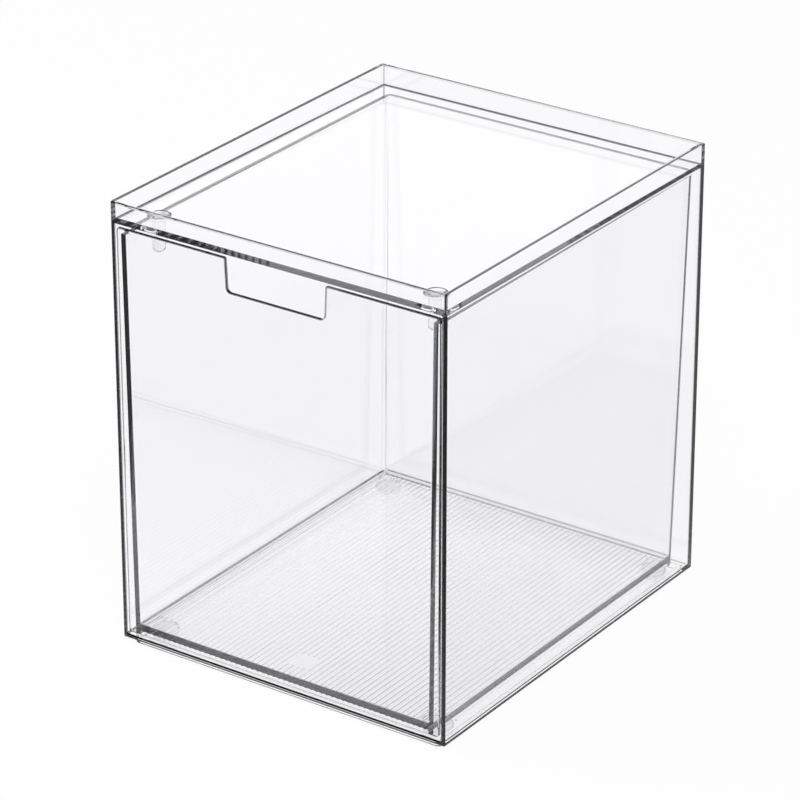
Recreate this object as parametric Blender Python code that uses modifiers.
"""Stackable storage drawer in clear plastic.

A one-piece case with an open front, a one-piece pull-out drawer, two stop pins that hang
through the top plate, and four foot pads under the floor.

Metres, +Z up. The drawer opens towards -Y. The origin is in the middle of the base, level
with the undersides of the foot pads.
"""
import math

import bmesh
import bpy

# Case
CASE_WIDTH = 0.1800
CASE_DEPTH = 0.2100
CASE_WALL = 0.0020
CASE_FLOOR = 0.0020
CASE_CORNER_RADIUS = 0.0006
BAY_HEIGHT = 0.2059
ROOF_DRAFT = 0.0015
BAY_FILLET = 0.0010
PLATE_THICKNESS = 0.0023
PLATE_DRAFT = 0.0019
RIM_HEIGHT = 0.0078

# Ring under the floor, which drops inside the rim of the case below
RING_HEIGHT = 0.0030
RING_WALL = 0.0020
RING_SIDE_PLAY = 0.0022
RING_END_PLAY = 0.0007
RING_CORNER_RADIUS = 0.0025

# Foot pads, which stand in the ring's corners
PAD_DIAMETER = 0.0127
PAD_PROUD = 0.0003
PAD_EDGE_RADIUS = 0.0010
PAD_SIDE_GAP = 0.0015
PAD_END_GAP = 0.0040

# Stop pins
PIN_SIDE_INSET = 0.0158
PIN_FRONT_INSET = 0.0155
PIN_SHAFT_DIAMETER = 0.0060
PIN_HEAD_DIAMETER = 0.0095
PIN_HEAD_EDGE = 0.0003
PIN_HEAD_SINK = 0.0002
PIN_REACH = 0.0150
PIN_TIP_RADIUS = 0.0020

# Drawer front
PANEL_SIDE_PLAY = 0.0010
PANEL_TOP_PLAY = 0.0017
PANEL_DRAFT = 0.0003
PANEL_THICKNESS = 0.0022
PANEL_CORNER_RADIUS = 0.0015
PANEL_EDGE_RADIUS = 0.0006
NOTCH_WIDTH = 0.0535
NOTCH_NARROWING = 0.0015
NOTCH_DEPTH = 0.0160
NOTCH_RADIUS = 0.0020
NOTCH_SHOULDER_RADIUS = 0.0012

# Drawer tub
DRAWER_LIFT = 0.0015
TUB_SIDE_PLAY = 0.0029
TUB_REAR_PLAY = 0.0007
TUB_TOP_DROP = 0.0030
SIDE_DRAFT = 0.0018
REAR_DRAFT = 0.0052
TUB_WALL = 0.0025
TUB_CORNER_RADIUS = 0.0040
TUB_FOOT_RADIUS = 0.0008
TUB_INNER_RADIUS = 0.0008
TUB_FLOOR = 0.0032
SKIRT_DEPTH = 0.0017
SKIRT_WIDTH = 0.0027

# Ribs under the drawer's floor, with a bare field near the front
RIB_PITCH = 0.00297
RIB_WIDTH = 0.0013
RIB_DEPTH = 0.00045
RIB_END_GAP = 0.0010
FIELD_WIDTH = 0.0104
FIELD_LENGTH = 0.0120
FIELD_SETBACK = 0.0130
FIELD_RADIUS = 0.0015

# Nubs under the skirt, which the drawer slides on
NUB_DIAMETER = 0.0018
NUB_SIDE_INSET = 0.0017
NUB_REAR_INSET = 0.0060
NUB_FRONT_SETBACK = 0.0190

# Air left between pieces that touch
CONTACT_GAP = 0.0003

# How far a cutting body runs past what it cuts, and an added one into what carries it
OVERCUT = 0.0010
OVERLAP = 0.0005

# Steps round a round piece, and in a rounded edge
PAD_STEPS = 36
PIN_STEPS = 28
CORNER_STEPS = 6
FILLET_STEPS = 4
PANEL_EDGE_STEPS = 1

# Points nearer than this are one point
MERGE_DISTANCE = 0.00001

# Colours and finish
CLEAR = (0.96, 0.97, 0.98)
MILKY = (0.93, 0.94, 0.95)
GLOSS_ROUGHNESS = 0.03
SOFT_ROUGHNESS = 0.12

# Heights
WALL_FOOT_Z = PAD_PROUD + RING_HEIGHT
BAY_FLOOR_Z = WALL_FOOT_Z + CASE_FLOOR
BAY_ROOF_Z = BAY_FLOOR_Z + BAY_HEIGHT
PLATE_TOP_Z = BAY_ROOF_Z + PLATE_THICKNESS
RIM_TOP_Z = PLATE_TOP_Z + RIM_HEIGHT
DRAWER_FOOT_Z = BAY_FLOOR_Z + DRAWER_LIFT
FLOOR_UNDERSIDE_Z = DRAWER_FOOT_Z + SKIRT_DEPTH
FLOOR_TOP_Z = FLOOR_UNDERSIDE_Z + TUB_FLOOR
PANEL_TOP_Z = BAY_ROOF_Z - PANEL_TOP_PLAY
TUB_TOP_Z = PANEL_TOP_Z - TUB_TOP_DROP

# Outer faces of the case, the bay's walls and the outer faces of the ring
CASE_X = CASE_WIDTH / 2
CASE_Y = CASE_DEPTH / 2
BAY_X = CASE_X - CASE_WALL
BAY_Y = CASE_Y - CASE_WALL
RING_X = BAY_X - RING_SIDE_PLAY
RING_Y = BAY_Y - RING_END_PLAY

# Faces of the drawer's panel and, at its top, of its tub
PANEL_X = BAY_X - PANEL_SIDE_PLAY
PANEL_FRONT_Y = -CASE_Y
PANEL_REAR_Y = PANEL_FRONT_Y + PANEL_THICKNESS
TUB_X = BAY_X - TUB_SIDE_PLAY
TUB_REAR_Y = BAY_Y - TUB_REAR_PLAY

# Stop pins
PIN_X = CASE_X - PIN_SIDE_INSET
PIN_Y = -CASE_Y + PIN_FRONT_INSET
PIN_SHAFT_RADIUS = PIN_SHAFT_DIAMETER / 2
PIN_HEAD_RADIUS = PIN_HEAD_DIAMETER / 2
PIN_HOLE_RADIUS = PIN_SHAFT_RADIUS + CONTACT_GAP
SINK_RADIUS = PIN_HEAD_RADIUS + CONTACT_GAP * math.sqrt(2)


def clear_objects():
    for item in list(bpy.data.objects):
        bpy.data.objects.remove(item, do_unlink=True)


def make_collection(name):
    collection = bpy.data.collections.new(name)
    bpy.context.scene.collection.children.link(collection)
    return collection


def make_material(name, color, roughness, transmission):
    material = bpy.data.materials.new(name)
    material.use_nodes = True
    shader = material.node_tree.nodes["Principled BSDF"]
    shader.inputs["Base Color"].default_value = (*color, 1.0)
    shader.inputs["Roughness"].default_value = roughness
    shader.inputs["Metallic"].default_value = 0.0
    shader.inputs["Transmission Weight"].default_value = transmission
    return material


def add_object(name, shape, collection):
    mesh = bpy.data.meshes.new(name)
    shape.to_mesh(mesh)
    shape.free()
    item = bpy.data.objects.new(name, mesh)
    collection.objects.link(item)
    return item


def tapered_block(foot, top, z_foot, z_top):
    """A six-sided block; foot and top are (x low, x high, y low, y high) at its two levels."""
    shape = bmesh.new()
    bmesh.ops.create_cube(shape, size=1.0)
    for vert in shape.verts:
        low_x, high_x, low_y, high_y = top if vert.co.z > 0 else foot
        vert.co = (
            high_x if vert.co.x > 0 else low_x,
            high_y if vert.co.y > 0 else low_y,
            z_top if vert.co.z > 0 else z_foot,
        )
    return shape


def block(low_x, high_x, low_y, high_y, z_foot, z_top):
    rectangle = (low_x, high_x, low_y, high_y)
    return tapered_block(rectangle, rectangle, z_foot, z_top)


def bevel(shape, edges, radius, segments):
    bmesh.ops.bevel(
        shape, geom=edges, offset=radius, offset_type="OFFSET", segments=segments,
        profile=0.5, affect="EDGES", clamp_overlap=True,
    )


def edge_middle(edge):
    return (edge.verts[0].co + edge.verts[1].co) / 2


def edges_along(shape, axis):
    """The edges that run mostly along the axis, 0 for X, 1 for Y and 2 for Z."""
    chosen = []
    for edge in shape.edges:
        step = edge.verts[1].co - edge.verts[0].co
        if max(range(3), key=lambda index: abs(step[index])) == axis:
            chosen.append(edge)
    return chosen


def combine(target, tool, operation):
    modifier = target.modifiers.new(tool.name, "BOOLEAN")
    modifier.operation = operation
    modifier.solver = "EXACT"
    modifier.object = tool


def arc_points(center, radius, start, end, steps):
    """Points on an arc; angles in degrees, from the first axis towards the second."""
    points = []
    for index in range(steps + 1):
        angle = math.radians(start + (end - start) * index / steps)
        points.append((
            center[0] + radius * math.cos(angle),
            center[1] + radius * math.sin(angle),
        ))
    return points


def turned(name, profile, steps, location, collection):
    """A round piece from (radius, height) points that run down its outer side, top to bottom."""
    mesh = bpy.data.meshes.new(name)
    points = [(radius, 0.0, height) for radius, height in profile]
    mesh.from_pydata(points, [(index, index + 1) for index in range(len(points) - 1)], [])
    item = bpy.data.objects.new(name, mesh)
    item.location = location
    collection.objects.link(item)
    screw = item.modifiers.new("turn", "SCREW")
    screw.axis = "Z"
    screw.steps = steps
    screw.render_steps = steps
    screw.use_merge_vertices = True
    screw.merge_threshold = MERGE_DISTANCE
    screw.use_smooth_shade = True
    return item


def rounded_outline(corners, steps):
    """A closed outline from (x, z, radius) corners, each rounded by an arc."""
    points = []
    for index, (x, z, radius) in enumerate(corners):
        before_x, before_z, _ = corners[index - 1]
        after_x, after_z, _ = corners[(index + 1) % len(corners)]
        to_before = math.atan2(before_z - z, before_x - x)
        to_after = math.atan2(after_z - z, after_x - x)
        turn = (to_after - to_before + math.pi) % (2 * math.pi) - math.pi
        half = abs(turn) / 2
        bisector = to_before + turn / 2
        reach = radius / math.sin(half)
        center = (x + reach * math.cos(bisector), z + reach * math.sin(bisector))
        sweep = (math.pi - abs(turn)) * (1 if turn > 0 else -1)
        opposite = bisector + math.pi
        start = math.degrees(opposite + sweep / 2)
        end = math.degrees(opposite - sweep / 2)
        points += arc_points(center, radius, start, end, steps)
    return points


def flat_plate(name, outline, thickness, edge_radius, collection):
    """A plate in the XZ plane with its outline's edges rounded, its middle plane at Y = 0."""
    curve = bpy.data.curves.new(name, "CURVE")
    curve.dimensions = "2D"
    curve.fill_mode = "BOTH"
    curve.extrude = thickness / 2 - edge_radius
    curve.bevel_depth = edge_radius
    curve.bevel_resolution = PANEL_EDGE_STEPS
    curve.offset = -edge_radius
    spline = curve.splines.new("POLY")
    spline.points.add(len(outline) - 1)
    for point, (x, z) in zip(spline.points, outline):
        point.co = (x, z, 0.0, 1.0)
    spline.use_cyclic_u = True
    drawn = bpy.data.objects.new(name, curve)
    drawn.rotation_euler = (math.radians(90), 0.0, 0.0)
    collection.objects.link(drawn)
    bpy.context.view_layer.update()

    graph = bpy.context.evaluated_depsgraph_get()
    mesh = bpy.data.meshes.new_from_object(drawn.evaluated_get(graph))
    mesh.transform(drawn.matrix_world)
    bpy.data.objects.remove(drawn, do_unlink=True)
    shape = bmesh.new()
    shape.from_mesh(mesh)
    bpy.data.meshes.remove(mesh)
    bmesh.ops.remove_doubles(shape, verts=shape.verts, dist=MERGE_DISTANCE)
    bmesh.ops.recalc_face_normals(shape, faces=shape.faces)
    return add_object(name, shape, collection)


def bay_roof(y):
    """Height of the bay's roof, which comes down a little towards the back."""
    return BAY_ROOF_Z - ROOF_DRAFT * (y + CASE_Y) / (BAY_Y + CASE_Y)


def plate_top(y):
    """Height of the plate's upper face, which comes down towards the back like the roof."""
    return PLATE_TOP_Z - PLATE_DRAFT * (y + CASE_Y) / (BAY_Y + CASE_Y)


def case_ring(case, tools):
    ring = block(-RING_X, RING_X, -RING_Y, RING_Y, PAD_PROUD, WALL_FOOT_Z + OVERLAP)
    bevel(ring, edges_along(ring, 2), RING_CORNER_RADIUS, CORNER_STEPS)
    combine(case, add_object("foot_ring", ring, tools), "UNION")

    inner_x = RING_X - RING_WALL
    inner_y = RING_Y - RING_WALL
    inner_radius = max(RING_CORNER_RADIUS - RING_WALL, CASE_CORNER_RADIUS)
    hollow = block(-inner_x, inner_x, -inner_y, inner_y, PAD_PROUD - OVERCUT, WALL_FOOT_Z)
    bevel(hollow, edges_along(hollow, 2), inner_radius, FILLET_STEPS)
    combine(case, add_object("foot_ring_hollow", hollow, tools), "DIFFERENCE")


def case_bay(case, tools):
    front_y = -CASE_Y - OVERCUT
    bay = block(-BAY_X, BAY_X, front_y, BAY_Y, BAY_FLOOR_Z, BAY_ROOF_Z)
    for vert in bay.verts:
        if vert.co.z > BAY_FLOOR_Z + BAY_HEIGHT / 2:
            vert.co.z = bay_roof(vert.co.y)
    bevel(bay, edges_along(bay, 1), BAY_FILLET, FILLET_STEPS)
    combine(case, add_object("bay", bay, tools), "DIFFERENCE")


def case_tray(case, tools):
    tray = block(-BAY_X, BAY_X, -BAY_Y, BAY_Y, PLATE_TOP_Z, RIM_TOP_Z + OVERCUT)
    for vert in tray.verts:
        if vert.co.z < RIM_TOP_Z:
            vert.co.z = plate_top(vert.co.y)
    combine(case, add_object("tray", tray, tools), "DIFFERENCE")


def case_pin_holes(case, tools):
    edge_z = plate_top(PIN_Y) - PIN_HEAD_SINK - PIN_HEAD_EDGE
    throat_z = edge_z - (SINK_RADIUS - PIN_HOLE_RADIUS)
    foot_z = bay_roof(PIN_Y) - OVERCUT
    profile = [
        (0.0, PLATE_TOP_Z + OVERCUT),
        (SINK_RADIUS, PLATE_TOP_Z + OVERCUT),
        (SINK_RADIUS, edge_z),
        (PIN_HOLE_RADIUS, throat_z),
        (PIN_HOLE_RADIUS, foot_z),
        (0.0, foot_z),
    ]
    for side, sign in (("left", -1), ("right", 1)):
        hole = turned(f"pin_hole_{side}", profile, PIN_STEPS, (sign * PIN_X, PIN_Y, 0.0), tools)
        combine(case, hole, "DIFFERENCE")


def build_case(parts, tools):
    body = block(-CASE_X, CASE_X, -CASE_Y, CASE_Y, WALL_FOOT_Z, RIM_TOP_Z)
    bevel(body, edges_along(body, 2), CASE_CORNER_RADIUS, FILLET_STEPS)
    case = add_object("case_shell", body, parts)
    case_ring(case, tools)
    case_bay(case, tools)
    case_tray(case, tools)
    case_pin_holes(case, tools)
    return case


def tub_outline(level, wall):
    """Half width and rear face of the tub at a height, drawn in by a wall's thickness."""
    share = (TUB_TOP_Z - level) / (TUB_TOP_Z - DRAWER_FOOT_Z)
    half_x = TUB_X - SIDE_DRAFT * share - wall
    rear_y = TUB_REAR_Y - REAR_DRAFT * share - wall
    return half_x, rear_y


def tub_shape(foot, top, front_y, z_foot, z_top, corner_radius, foot_radius):
    """A leaning block with round rear corners and a round foot, but for its front."""
    shape = tapered_block(
        (-foot[0], foot[0], front_y, foot[1]), (-top[0], top[0], front_y, top[1]),
        z_foot, z_top,
    )
    rear_corners = [edge for edge in edges_along(shape, 2) if edge_middle(edge).y > front_y / 2]
    bevel(shape, rear_corners, corner_radius, CORNER_STEPS)
    foot_edges = []
    for edge in shape.edges:
        at_foot = all(abs(vert.co.z - z_foot) < OVERLAP for vert in edge.verts)
        at_front = all(abs(vert.co.y - front_y) < OVERLAP for vert in edge.verts)
        if at_foot and not at_front:
            foot_edges.append(edge)
    bevel(shape, foot_edges, foot_radius, CORNER_STEPS)
    return shape


def drawer_body():
    foot = tub_outline(DRAWER_FOOT_Z, 0.0)
    top = tub_outline(TUB_TOP_Z, 0.0)
    front_y = PANEL_REAR_Y - OVERLAP
    return tub_shape(
        foot, top, front_y, DRAWER_FOOT_Z, TUB_TOP_Z, TUB_CORNER_RADIUS, TUB_FOOT_RADIUS,
    )


def drawer_hollow():
    """The room in the tub, which runs out through its front, where the panel then closes it."""
    foot = tub_outline(FLOOR_TOP_Z, TUB_WALL)
    top = tub_outline(TUB_TOP_Z, TUB_WALL)
    past = OVERCUT / (TUB_TOP_Z - FLOOR_TOP_Z)
    mouth = [edge + (edge - low) * past for low, edge in zip(foot, top)]
    corner_radius = max(TUB_CORNER_RADIUS - TUB_WALL, TUB_INNER_RADIUS)
    front_y = PANEL_REAR_Y - OVERLAP - OVERCUT
    return tub_shape(
        foot, mouth, front_y, FLOOR_TOP_Z, TUB_TOP_Z + OVERCUT, corner_radius,
        TUB_INNER_RADIUS,
    )


def panel_outline():
    """The front panel's outline, seen from the front, with the finger notch in its top."""
    foot_x = PANEL_X - PANEL_DRAFT
    notch_x = NOTCH_WIDTH / 2
    notch_foot_x = notch_x - NOTCH_NARROWING / 2
    notch_foot_z = PANEL_TOP_Z - NOTCH_DEPTH
    corners = [
        (-foot_x, DRAWER_FOOT_Z, PANEL_CORNER_RADIUS),
        (foot_x, DRAWER_FOOT_Z, PANEL_CORNER_RADIUS),
        (PANEL_X, PANEL_TOP_Z, PANEL_CORNER_RADIUS),
        (notch_x, PANEL_TOP_Z, NOTCH_SHOULDER_RADIUS),
        (notch_foot_x, notch_foot_z, NOTCH_RADIUS),
        (-notch_foot_x, notch_foot_z, NOTCH_RADIUS),
        (-notch_x, PANEL_TOP_Z, NOTCH_SHOULDER_RADIUS),
        (-PANEL_X, PANEL_TOP_Z, PANEL_CORNER_RADIUS),
    ]
    return rounded_outline(corners, CORNER_STEPS)


def rib_centers(half_width):
    """Places of the ribs across the drawer, an even number that fits in the half width."""
    count = 2 * int((half_width - RIB_WIDTH / 2 + RIB_PITCH / 2) / RIB_PITCH)
    return [(index - (count - 1) / 2) * RIB_PITCH for index in range(count)]


def ribs_shape(half_width, front_y, rear_y):
    """Half-round ribs that hang from the floor's underside and reach a little into it."""
    shape = bmesh.new()
    curve = arc_points((0.0, 0.0), 1.0, 180, 360, CORNER_STEPS)
    section = [(x * RIB_WIDTH / 2, FLOOR_UNDERSIDE_Z + z * RIB_DEPTH) for x, z in curve]
    section.append((RIB_WIDTH / 2, FLOOR_UNDERSIDE_Z + OVERLAP))
    section.append((-RIB_WIDTH / 2, FLOOR_UNDERSIDE_Z + OVERLAP))
    for center in rib_centers(half_width):
        front = [shape.verts.new((center + x, front_y, z)) for x, z in section]
        end = shape.faces.new(front)
        pulled = bmesh.ops.extrude_face_region(shape, geom=[end], use_keep_orig=True)
        moved = [item for item in pulled["geom"] if isinstance(item, bmesh.types.BMVert)]
        bmesh.ops.translate(shape, verts=moved, vec=(0.0, rear_y - front_y, 0.0))
    bmesh.ops.recalc_face_normals(shape, faces=shape.faces)
    return shape


def drawer_underside(drawer, tools):
    """The recess inside the skirt, with the ribs in it and the bare field among the ribs."""
    half_x, rear_y = tub_outline(DRAWER_FOOT_Z, SKIRT_WIDTH)
    recess = block(
        -half_x, half_x, PANEL_REAR_Y, rear_y, DRAWER_FOOT_Z - OVERCUT, FLOOR_UNDERSIDE_Z,
    )
    rear_corners = [edge for edge in edges_along(recess, 2) if edge_middle(edge).y > 0]
    bevel(recess, rear_corners, TUB_INNER_RADIUS, FILLET_STEPS)
    combine(drawer, add_object("floor_recess", recess, tools), "DIFFERENCE")

    ribs = add_object(
        "floor_ribs", ribs_shape(half_x, PANEL_REAR_Y - OVERLAP, rear_y - RIB_END_GAP), tools,
    )
    field_y = PANEL_FRONT_Y + FIELD_SETBACK
    field = block(
        -FIELD_WIDTH / 2, FIELD_WIDTH / 2, field_y, field_y + FIELD_LENGTH,
        FLOOR_UNDERSIDE_Z - RIB_DEPTH - OVERCUT, FLOOR_UNDERSIDE_Z + OVERLAP + OVERCUT,
    )
    bevel(field, edges_along(field, 2), FIELD_RADIUS, FILLET_STEPS)
    combine(ribs, add_object("bare_field", field, tools), "DIFFERENCE")
    combine(drawer, ribs, "UNION")


def drawer_nubs(drawer, tools):
    """Four small feet under the skirt, on which the drawer stands and slides."""
    half_x, tub_rear_y = tub_outline(DRAWER_FOOT_Z, 0.0)
    nub_x = half_x - NUB_SIDE_INSET
    nub_ys = (PANEL_FRONT_Y + NUB_FRONT_SETBACK, tub_rear_y - NUB_REAR_INSET)
    nub_foot_z = BAY_FLOOR_Z + CONTACT_GAP
    places = [(x, y) for x in (-nub_x, nub_x) for y in nub_ys]
    for number, (x, y) in enumerate(places, start=1):
        profile = [
            (0.0, FLOOR_UNDERSIDE_Z),
            (NUB_DIAMETER / 2, FLOOR_UNDERSIDE_Z),
            (NUB_DIAMETER / 2, nub_foot_z),
            (0.0, nub_foot_z),
        ]
        combine(drawer, turned(f"nub_{number}", profile, PIN_STEPS, (x, y, 0.0), tools), "UNION")


def build_drawer(parts, tools):
    drawer = add_object("drawer", drawer_body(), parts)
    combine(drawer, add_object("tub_hollow", drawer_hollow(), tools), "DIFFERENCE")
    panel = flat_plate(
        "front_panel", panel_outline(), PANEL_THICKNESS, PANEL_EDGE_RADIUS, tools,
    )
    panel.location.y = PANEL_FRONT_Y + PANEL_THICKNESS / 2
    combine(drawer, panel, "UNION")
    drawer_underside(drawer, tools)
    drawer_nubs(drawer, tools)
    return drawer


def build_pin(name, x, parts):
    """A soft pin with a countersunk head; it hangs into the drawer and stops its rear wall."""
    head_z = plate_top(PIN_Y) - PIN_HEAD_SINK
    neck_z = head_z - PIN_HEAD_EDGE - (PIN_HEAD_RADIUS - PIN_SHAFT_RADIUS)
    tip_z = BAY_ROOF_Z - PIN_REACH
    tip_center = (PIN_SHAFT_RADIUS - PIN_TIP_RADIUS, tip_z + PIN_TIP_RADIUS)
    tip_arc = arc_points(tip_center, PIN_TIP_RADIUS, 0, -90, CORNER_STEPS)
    profile = [
        (0.0, head_z),
        (PIN_HEAD_RADIUS, head_z),
        (PIN_HEAD_RADIUS, head_z - PIN_HEAD_EDGE),
        (PIN_SHAFT_RADIUS, neck_z),
        *tip_arc,
        (0.0, tip_z),
    ]
    return turned(name, profile, PIN_STEPS, (x, PIN_Y, 0.0), parts)


def build_pad(name, x, y, parts):
    """A round stick-on foot, flat where it stands, with a rounded lower edge."""
    radius = PAD_DIAMETER / 2
    top_z = WALL_FOOT_Z - CONTACT_GAP
    edge_center = (radius - PAD_EDGE_RADIUS, PAD_EDGE_RADIUS)
    edge_arc = arc_points(edge_center, PAD_EDGE_RADIUS, 0, -90, FILLET_STEPS)
    profile = [(0.0, top_z), (radius, top_z), *edge_arc, (0.0, 0.0)]
    return turned(name, profile, PAD_STEPS, (x, y, 0.0), parts)


def main():
    clear_objects()
    parts = make_collection("stackable_storage_drawer")
    tools = make_collection("cutters")
    clear_case = make_material("clear_case", CLEAR, GLOSS_ROUGHNESS, 1.0)
    clear_drawer = make_material("clear_drawer", CLEAR, GLOSS_ROUGHNESS, 1.0)
    soft_clear = make_material("soft_clear", MILKY, SOFT_ROUGHNESS, 1.0)

    build_case(parts, tools).data.materials.append(clear_case)
    build_drawer(parts, tools).data.materials.append(clear_drawer)
    for side, sign in (("left", -1), ("right", 1)):
        pin = build_pin(f"stop_pin_{side}", sign * PIN_X, parts)
        pin.data.materials.append(soft_clear)

    pad_x = RING_X - RING_WALL - PAD_SIDE_GAP - PAD_DIAMETER / 2
    pad_y = RING_Y - RING_WALL - PAD_END_GAP - PAD_DIAMETER / 2
    for end, y in (("front", -pad_y), ("back", pad_y)):
        for side, x in (("left", -pad_x), ("right", pad_x)):
            pad = build_pad(f"foot_pad_{end}_{side}", x, y, parts)
            pad.data.materials.append(soft_clear)

    for tool in tools.objects:
        tool.hide_render = True
        tool.display_type = "WIRE"


main()
